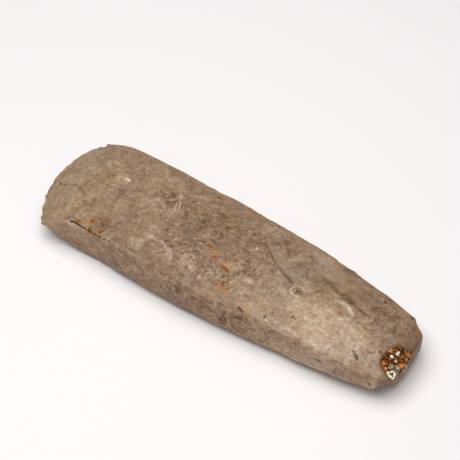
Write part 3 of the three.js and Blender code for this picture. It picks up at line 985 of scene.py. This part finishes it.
def stone_grain_group():
    """Mottling from broad clouds to fine specks, slanting strokes, and the height of it all."""
    group, given, out = start_group(
        "stone_grain",
        (("Place", VECTOR, None), ("Swirl", FLOAT, 90.0), ("Coarse", FLOAT, 320.0), ("Fine", FLOAT, 900.0)),
        (("Blotch", FLOAT), ("Mottle", FLOAT), ("Speck", FLOAT), ("Stroke", FLOAT), ("Height", FLOAT)),
    )
    swirl = add(group, "ShaderNodeTexNoise")
    feed(group, given["Place"], swirl.inputs["Vector"])
    feed(group, given["Swirl"], swirl.inputs["Scale"])
    centred = vector_calc(group, "SUBTRACT", swirl.outputs["Color"], (0.5, 0.5, 0.5))
    place = vector_calc(group, "MULTIPLY_ADD", centred, (0.012, 0.012, 0.012), given["Place"])
    slant = add(group, "ShaderNodeMapping", vector_type="TEXTURE")
    feed(group, place, slant.inputs["Vector"])
    slant.inputs["Rotation"].default_value = (0, 0, math.radians(36))
    slant.inputs["Scale"].default_value = (4.2, 1, 1)
    blotch = noise(group, place, 95.0, 3.0, 0.55, 0.9)
    mottle = noise(group, place, given["Coarse"], 3.0, 0.58, 0.5)
    speck = noise(group, place, given["Fine"], 2.0, 0.7, 0.6)
    stroke = noise(group, slant.outputs[0], 560.0, 2.5, 0.55, 0.7)
    height = calc(group, "MULTIPLY", mottle, 0.5)
    for pattern, share in ((speck, 0.3), (stroke, 0.2)):
        height = calc(group, "ADD", height, calc(group, "MULTIPLY", pattern, share))
    for title, value in (
        ("Blotch", blotch), ("Mottle", mottle), ("Speck", speck), ("Stroke", stroke), ("Height", height)
    ):
        group.links.new(value, out[title])
    return group


def hair_veins_group():
    """Thin wandering lines: the contours of a twisted noise."""
    group, given, out = start_group(
        "hair_veins",
        (("Place", VECTOR, None), ("Scale", FLOAT, 150.0), ("Width", FLOAT, 0.02), ("Twist", FLOAT, 1.5)),
        (("Line", FLOAT),),
    )
    wave = noise(group, given["Place"], given["Scale"], 1.5, 0.5, given["Twist"])
    away = calc(group, "ABSOLUTE", calc(group, "SUBTRACT", wave, 0.5))
    share = calc(group, "DIVIDE", away, given["Width"], clamp=True)
    group.links.new(calc(group, "SUBTRACT", 1.0, share), out["Line"])
    return group


# ------------------------------------------------------------------ the flint's finish
# from the darkest silica to the palest
FLINT_TONES = (
    (0.00, (0.070, 0.031, 0.012)),
    (0.25, (0.160, 0.090, 0.046)),
    (0.50, (0.298, 0.196, 0.120)),
    (0.75, (0.445, 0.325, 0.222)),
    (1.00, (0.680, 0.560, 0.420)),
)
# from the orange edge of a rust spot to its dark middle
RUST_TONES = ((0.15, (0.43, 0.22, 0.070)), (0.50, (0.42, 0.165, 0.024)), (0.95, (0.20, 0.062, 0.010)))
SLATE_CAST = (0.90, 1.00, 1.12, 1)
# a slightly redder cast for faces turned sideways: painted side light, for the sides are lit differently from
# the top
PAINTED_SIDE_LIGHT = (1.04, 1.00, 1.01, 1)
OCHRE_CAST = (1.04, 0.98, 0.86, 1)
RED_CAST = (1.18, 0.88, 0.66, 1)
WALL_DARK = (0.150, 0.052, 0.012, 1)
SOOT = (0.016, 0.008, 0.004, 1)
CHALK = (0.74, 0.62, 0.47, 1)
RIM_DARK = (0.105, 0.055, 0.024, 1)


def flint_material(edge, grain, veins):
    material = bpy.data.materials.new("ground_flint")
    material.use_nodes = True
    tree = material.node_tree
    shader = tree.nodes["Principled BSDF"]
    place = add(tree, "ShaderNodeTexCoord").outputs["Object"]
    texture = use_group(tree, grain, Place=place, Coarse=300.0, Fine=1050.0)
    blotch, mottle, speck, stroke = (texture[title] for title in ("Blotch", "Mottle", "Speck", "Stroke"))

    def stain(name, raggedness):
        values = {"Stain": mask_value(tree, name), "Grain": mottle, "Raggedness": raggedness}
        return use_group(tree, edge, **values)["Mask"]

    def vein(scale, width, twist, pattern, low, high):
        line = use_group(tree, veins, Place=place, Scale=scale, Width=width, Twist=twist)["Line"]
        return calc(tree, "MULTIPLY", line, remap(tree, pattern, low, high))

    # silica from dark to pale: clouds, mottles, specks and strokes, stains and thin veins
    lively = mask_value(tree, "lively")
    spots = noise(tree, place, 430.0, 1.0, 0.5, 0.8)
    clusters = calc(tree, "MULTIPLY", remap(tree, blotch, 0.62, 0.42), lively)
    dark_spots = calc(tree, "MULTIPLY", remap(tree, spots, 0.56, 0.70), clusters)
    dark_vein = vein(110.0, 0.012, 1.2, speck, 0.40, 0.60)
    pattern = swing(tree, stroke, 0.55)
    for source, reach in ((mottle, 0.78), (speck, 0.80)):
        pattern = calc(tree, "ADD", pattern, swing(tree, source, reach))
    for mask, reach in (
        (dark_spots, -0.26),
        (remap(tree, spots, 0.42, 0.28), 0.17),
        (vein(120.0, 0.012, 0.8, stroke, 0.42, 0.58), 0.12),
        (dark_vein, -0.20),
        (vein(230.0, 0.022, 0.4, blotch, 0.42, 0.58), 0.10),
        (vein(260.0, 0.022, 0.8, mottle, 0.60, 0.40), -0.16),
    ):
        pattern = calc(tree, "ADD", pattern, calc(tree, "MULTIPLY", mask, reach))
    quiet_cream = calc(tree, "MULTIPLY", mask_value(tree, "cream"), 0.6)
    quiet = calc(tree, "MAXIMUM", mask_value(tree, "slate"), quiet_cream)
    calm = remap(tree, quiet, 0.0, 1.0, 1.0, 0.5)
    contrast = calc(tree, "MULTIPLY", remap(tree, lively, 0.0, 1.0, 0.5, 1.05, smooth=False), calm)
    level = calc(tree, "MULTIPLY", pattern, contrast)
    level = calc(tree, "ADD", calc(tree, "ADD", level, 0.465), swing(tree, blotch, 0.45))
    for mask, reach in ((stain("cream", 0.8), 0.25), (stain("umber", 0.9), -0.24)):
        level = calc(tree, "ADD", level, calc(tree, "MULTIPLY", mask, reach))
    tone = tone_ramp(tree, level, FLINT_TONES)
    for mask, cast in (
        (remap(tree, noise(tree, place, 60.0, 2.0), 0.45, 0.62, 0.0, 0.7), OCHRE_CAST),
        (calc(tree, "MULTIPLY", dark_spots, 0.8), RED_CAST),
        (stain("slate", 0.3), SLATE_CAST),
        # faces turned sideways take the painted side-light cast
        (mask_value(tree, "flank"), PAINTED_SIDE_LIGHT),
    ):
        tone = blend_tone(tree, mask, tone, cast, "MULTIPLY")

    rust = stain("rust", 1.0)
    depth_of_rust = calc(tree, "SUBTRACT", mask_value(tree, "rust"), swing(tree, mottle, 1.2), clamp=True)
    tone = blend_tone(tree, rust, tone, tone_ramp(tree, depth_of_rust, RUST_TONES))
    tone = blend_tone(tree, stain("chalk", 0.8), tone, CHALK)
    soot = stain("soot", 0.2)
    tone = blend_tone(tree, soot, tone, SOOT)

    # the hollow's stained wall and the brown halo round its mouth
    rim = calc(tree, "MULTIPLY", mask_value(tree, "rim"), remap(tree, mottle, 0.3, 0.62, 0.9, 0.25))
    tone = blend_tone(tree, rim, tone, RIM_DARK)
    pocket = mask_value(tree, "pocket")
    tone = blend_tone(tree, pocket, tone, WALL_DARK)
    tree.links.new(tone, shader.inputs["Base Color"])

    gloss = remap(tree, mottle, 0.3, 0.7, 0.50, 0.64)
    for mask, reach in ((mask_value(tree, "flank"), 0.10), (calc(tree, "MAXIMUM", rust, pocket), 0.12)):
        gloss = calc(tree, "ADD", gloss, calc(tree, "MULTIPLY", mask, reach))
    tree.links.new(gloss, shader.inputs["Roughness"])
    shader.inputs["Specular IOR Level"].default_value = 0.40
    height = texture["Height"]
    for mask, drop in ((soot, 1.2), (dark_vein, 0.14)):
        height = calc(tree, "SUBTRACT", height, calc(tree, "MULTIPLY", mask, drop))
    bump = add(tree, "ShaderNodeBump")
    bump.inputs["Strength"].default_value = 0.7
    bump.inputs["Distance"].default_value = 0.0005
    tree.links.new(height, bump.inputs["Height"])
    tree.links.new(bump.outputs["Normal"], shader.inputs["Normal"])
    return material


# from the black iron crust through amber to flint and clear white quartz
CRYSTAL_TONES = (
    (0.00, (0.018, 0.006, 0.002)), (0.22, (0.075, 0.024, 0.006)), (0.42, (0.26, 0.075, 0.010)),
    (0.56, (0.50, 0.17, 0.020)), (0.68, (0.42, 0.25, 0.09)), (0.78, (0.19, 0.135, 0.085)),
    (0.84, (0.25, 0.185, 0.12)), (0.92, (0.74, 0.60, 0.42)), (1.00, (0.95, 0.90, 0.74)),
)


def crystal_material(grain):
    material = bpy.data.materials.new("hollow_crystal")
    material.use_nodes = True
    tree = material.node_tree
    shader = tree.nodes["Principled BSDF"]
    place = add(tree, "ShaderNodeTexCoord").outputs["Object"]
    texture = use_group(tree, grain, Place=place, Coarse=650.0, Fine=1700.0)
    kind = mask_value(tree, "tone")
    uneven = remap(tree, texture["Mottle"], 0.3, 0.7, -0.09, 0.09, smooth=False)
    swung = calc(tree, "ADD", kind, uneven, clamp=True)
    tree.links.new(tone_ramp(tree, swung, CRYSTAL_TONES), shader.inputs["Base Color"])
    tree.links.new(remap(tree, texture["Speck"], 0.3, 0.7, 0.28, 0.5), shader.inputs["Roughness"])
    bump = add(tree, "ShaderNodeBump")
    bump.inputs["Strength"].default_value = 0.4
    bump.inputs["Distance"].default_value = 0.0002
    tree.links.new(texture["Height"], bump.inputs["Height"])
    tree.links.new(bump.outputs["Normal"], shader.inputs["Normal"])
    return material


# ------------------------------------------------------------------ crystals in the hollow
def crust_tree(material):
    """Small crystals strewn over the wall of the hollow, standing out from it."""
    tree = bpy.data.node_groups.new("crystal_crust", "GeometryNodeTree")
    face = tree.interface
    face.new_socket("Wall", in_out="INPUT", socket_type="NodeSocketGeometry")
    sockets = {}
    for title, kind, value in (
        ("Spacing", FLOAT, 0.0011), ("Smallest", FLOAT, 0.0005), ("Largest", FLOAT, 0.0014),
        ("Seed", "NodeSocketInt", 7), ("Finish", "NodeSocketMaterial", None),
    ):
        socket = face.new_socket(title, in_out="INPUT", socket_type=kind)
        if value is not None:
            socket.default_value = value
        sockets[title] = socket.identifier
    face.new_socket("Crystals", in_out="OUTPUT", socket_type="NodeSocketGeometry")
    given = add(tree, "NodeGroupInput").outputs
    leave = add(tree, "NodeGroupOutput").inputs
    strewn = add(tree, "GeometryNodeDistributePointsOnFaces", distribute_method="POISSON")
    tree.links.new(given["Wall"], strewn.inputs["Mesh"])
    tree.links.new(given["Spacing"], strewn.inputs["Distance Min"])
    tree.links.new(given["Seed"], strewn.inputs["Seed"])
    strewn.inputs["Density Max"].default_value = 2.5e6
    crystal = add(tree, "GeometryNodeMeshCone")
    crystal.inputs["Vertices"].default_value = 5
    crystal.inputs["Radius Top"].default_value = 0.42
    crystal.inputs["Radius Bottom"].default_value = 0.62
    crystal.inputs["Depth"].default_value = 1.3
    crystal.inputs["Side Segments"].default_value = 2
    lumps = add(tree, "GeometryNodeInstanceOnPoints")
    tree.links.new(strewn.outputs["Points"], lumps.inputs["Points"])
    tree.links.new(crystal.outputs["Mesh"], lumps.inputs["Instance"])
    tree.links.new(strewn.outputs["Rotation"], lumps.inputs["Rotation"])
    size = add(tree, "FunctionNodeRandomValue", data_type="FLOAT")
    tree.links.new(given["Smallest"], size.inputs[2])
    tree.links.new(given["Largest"], size.inputs[3])
    tree.links.new(given["Seed"], size.inputs["Seed"])
    tree.links.new(size.outputs[1], lumps.inputs["Scale"])
    spin = add(tree, "FunctionNodeRandomValue", data_type="FLOAT_VECTOR")
    spin.inputs[0].default_value = (-0.7, -0.7, 0)
    spin.inputs[1].default_value = (0.7, 0.7, 6.28)
    spin.inputs["Seed"].default_value = 5
    turned = add(tree, "GeometryNodeRotateInstances")
    tree.links.new(lumps.outputs[0], turned.inputs["Instances"])
    tree.links.new(spin.outputs[0], turned.inputs["Rotation"])
    shade = add(tree, "FunctionNodeRandomValue", data_type="FLOAT")
    shade.inputs[2].default_value = 0.20
    shade.inputs[3].default_value = 0.62
    shade.inputs["Seed"].default_value = 11
    kept = add(tree, "GeometryNodeStoreNamedAttribute", data_type="FLOAT", domain="INSTANCE")
    kept.inputs["Name"].default_value = "tone"
    tree.links.new(turned.outputs[0], kept.inputs["Geometry"])
    tree.links.new(shade.outputs[1], kept.inputs["Value"])
    real = add(tree, "GeometryNodeRealizeInstances")
    tree.links.new(kept.outputs[0], real.inputs[0])
    coat = add(tree, "GeometryNodeSetMaterial")
    tree.links.new(real.outputs[0], coat.inputs["Geometry"])
    tree.links.new(given["Finish"], coat.inputs["Material"])
    tree.links.new(coat.outputs[0], leave["Crystals"])
    return tree, sockets


# the larger crystals: middle, half sizes, lean about x and y and turn about z in degrees, tone
BIG_CRYSTALS = (
    ((117.9, -8.1, 26.5), (1.4, 1.3, 1.3), (18, -12, 20), 1.0),
    ((119.9, -4.1, 26.5), (1.5, 1.1, 1.2), (-10, 24, 55), 1.0),
    ((120.9, -8.4, 24.5), (1.2, 1.0, 1.0), (30, 10, 10), 0.90),
    ((125.2, -3.8, 23.2), (1.6, 1.0, 1.0), (-8, 12, 5), 0.90),
    ((122.7, -4.1, 25.0), (1.3, 1.5, 1.3), (12, 28, 5), 0.52),
    ((125.0, -2.5, 24.6), (1.0, 1.0, 1.0), (-14, 22, 30), 0.54),
    ((125.9, -0.4, 19.4), (1.1, 1.1, 1.1), (8, -18, 60), 0.50),
    ((125.0, -9.2, 24.0), (1.8, 1.7, 1.6), (24, 8, 15), 0.57),
    ((125.6, -6.0, 20.6), (1.3, 1.6, 1.6), (10, 14, 40), 0.58),
    ((125.6, -8.8, 20.2), (1.2, 1.5, 1.6), (20, -20, 75), 0.60),
    ((115.4, -12.0, 27.0), (1.2, 1.6, 1.4), (-20, 12, 15), 0.50),
    ((116.7, -15.0, 27.0), (1.2, 1.6, 1.4), (10, -16, 35), 0.48),
    ((118.6, -17.1, 26.5), (1.3, 1.6, 1.4), (14, 8, 25), 0.53),
    ((121.2, -14.2, 25.8), (2.6, 2.0, 1.8), (-12, -18, 70), 0.81),
    ((123.8, -12.6, 25.2), (2.6, 1.9, 2.2), (8, 18, 0), 0.81),
    ((124.2, -15.2, 24.0), (2.3, 2.0, 2.4), (-10, 20, 40), 0.80),
)


def block_crystal(middle, half, lean, tone):
    """A blunt six-sided crystal, its edges slightly worn."""
    made = bmesh.new()
    bmesh.ops.create_cone(made, cap_ends=True, segments=6, radius1=1.0, radius2=0.72, depth=2.0)
    bmesh.ops.bevel(made, geom=made.edges[:], offset=0.16, segments=2, affect="EDGES", profile=0.6)
    turn = Euler([math.radians(v) for v in lean]).to_matrix()
    for vert in made.verts:
        place = Vector(v * h for v, h in zip(vert.co, half))
        vert.co = turn @ place + Vector(middle)
    points = np.array([v.co for v in made.verts])
    made.verts.index_update()
    faces = [[v.index for v in f.verts] for f in made.faces]
    made.free()
    return points, faces, np.full(len(points), tone)


def ring_crystal():
    """A white crystal grown as a ring round a brown core, at the corner of the butt."""
    centre, out = np.array((123.2, -18.0, 25.6)), np.array((0.25, -0.2, 0.95))
    out = out / np.linalg.norm(out)
    side = np.cross(out, (0.0, 1.0, 0.0))
    side /= np.linalg.norm(side)
    up = np.cross(out, side)
    around, across = 40, 10
    points, tones = [], []
    for i in range(around):
        a = 2 * math.pi * i / around
        swell = 1 + 0.20 * math.sin(3 * a + 0.8) + 0.11 * math.sin(5 * a + 2) + 0.07 * math.sin(9 * a)
        ring = centre + (side * math.cos(a) * 1.85 + up * math.sin(a) * 1.5) * swell
        outward = side * math.cos(a) + up * math.sin(a)
        for k in range(across):
            b = 2 * math.pi * k / across
            points.append(ring + outward * math.cos(b) * 0.8 + out * math.sin(b) * 0.9)
            tones.append(0.97 + 0.05 * math.sin(5 * a) if math.cos(b) > -0.5 else 0.86)
    faces = [
        [i * across + k, ((i + 1) % around) * across + k,
         ((i + 1) % around) * across + (k + 1) % across, i * across + (k + 1) % across]
        for i in range(around) for k in range(across)
    ]
    return np.array(points), faces, np.array(tones)


def grow_crystals(cutter, shift, material):
    """The crust on the hollow's wall and the larger crystals, joined into one piece."""
    wall = cutter.data
    low = [f for f in wall.polygons if wall_kept(np.array(f.center) / MM - shift)]
    used = sorted({v for f in low for v in f.vertices})
    index = {v: i for i, v in enumerate(used)}
    seat = bpy.data.meshes.new("hollow_wall")
    # turned over, so that it faces into the hollow
    seat.from_pydata(
        [wall.vertices[v].co for v in used], [], [[index[v] for v in reversed(f.vertices)] for f in low]
    )
    holder = new_object("hollow_wall", seat)
    tree, sockets = crust_tree(material)
    crust = holder.modifiers.new("crystals", "NODES")
    crust.node_group = tree
    crust[sockets["Spacing"]] = 0.0017
    crust[sockets["Smallest"]] = 0.0010
    crust[sockets["Largest"]] = 0.0021
    crust[sockets["Seed"]] = 23
    crust[sockets["Finish"]] = material
    graph = bpy.context.evaluated_depsgraph_get()
    grown = bpy.data.meshes.new_from_object(holder.evaluated_get(graph))
    bpy.data.objects.remove(holder)

    count = len(grown.vertices)
    points = np.empty(count * 3)
    grown.vertices.foreach_get("co", points)
    tones = np.empty(count)
    grown.attributes["tone"].data.foreach_get("value", tones)
    all_points, all_faces, all_tones = [points.reshape(-1, 3) / MM], [], [tones]
    all_faces += [list(f.vertices) for f in grown.polygons]
    for made in [block_crystal(*row) for row in BIG_CRYSTALS] + [ring_crystal()]:
        offset = sum(len(p) for p in all_points)
        all_points.append(made[0] + shift)
        all_faces += [[v + offset for v in f] for f in made[1]]
        all_tones.append(made[2])
    points = np.vstack(all_points)
    points[:, 0] = np.minimum(points[:, 0], LENGTH / 2 - 0.2 + shift[0])
    data = mesh_from("hollow_crystals", points, all_faces)
    write_mask(data, "tone", np.concatenate(all_tones))
    data.materials.append(material)
    return new_object("hollow_crystals", data)


def wall_kept(place):
    """Whether a bit of the hollow's wall is inside the stone."""
    s = place[0] + LENGTH / 2
    if s > LENGTH - 1.2:
        return False
    _, near, side, dome, _ = (float(v[0]) for v in halves_at(np.array([s])))
    top = MID_HEIGHT + side + dome * (1 - min(1.0, abs(place[1]) / near) ** DOME_POWER)
    return place[2] < top - 0.8 and place[1] > -near + 0.8


# ------------------------------------------------------------------ putting it together
def finish_stone():
    edge, grain, veins = ragged_edge_group(), stone_grain_group(), hair_veins_group()
    stone, cutter, shift = build_stone()
    paint_stone(stone, shift)
    stone.data.materials.clear()
    stone.data.materials.append(flint_material(edge, grain, veins))
    crystals = grow_crystals(cutter, shift, crystal_material(grain))
    bpy.data.objects.remove(cutter)
    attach(stone, "root")
    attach(crystals, "root")
    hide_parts(AXE)


place_camera()
lay_floor()
light_the_studio()
finish_stone()
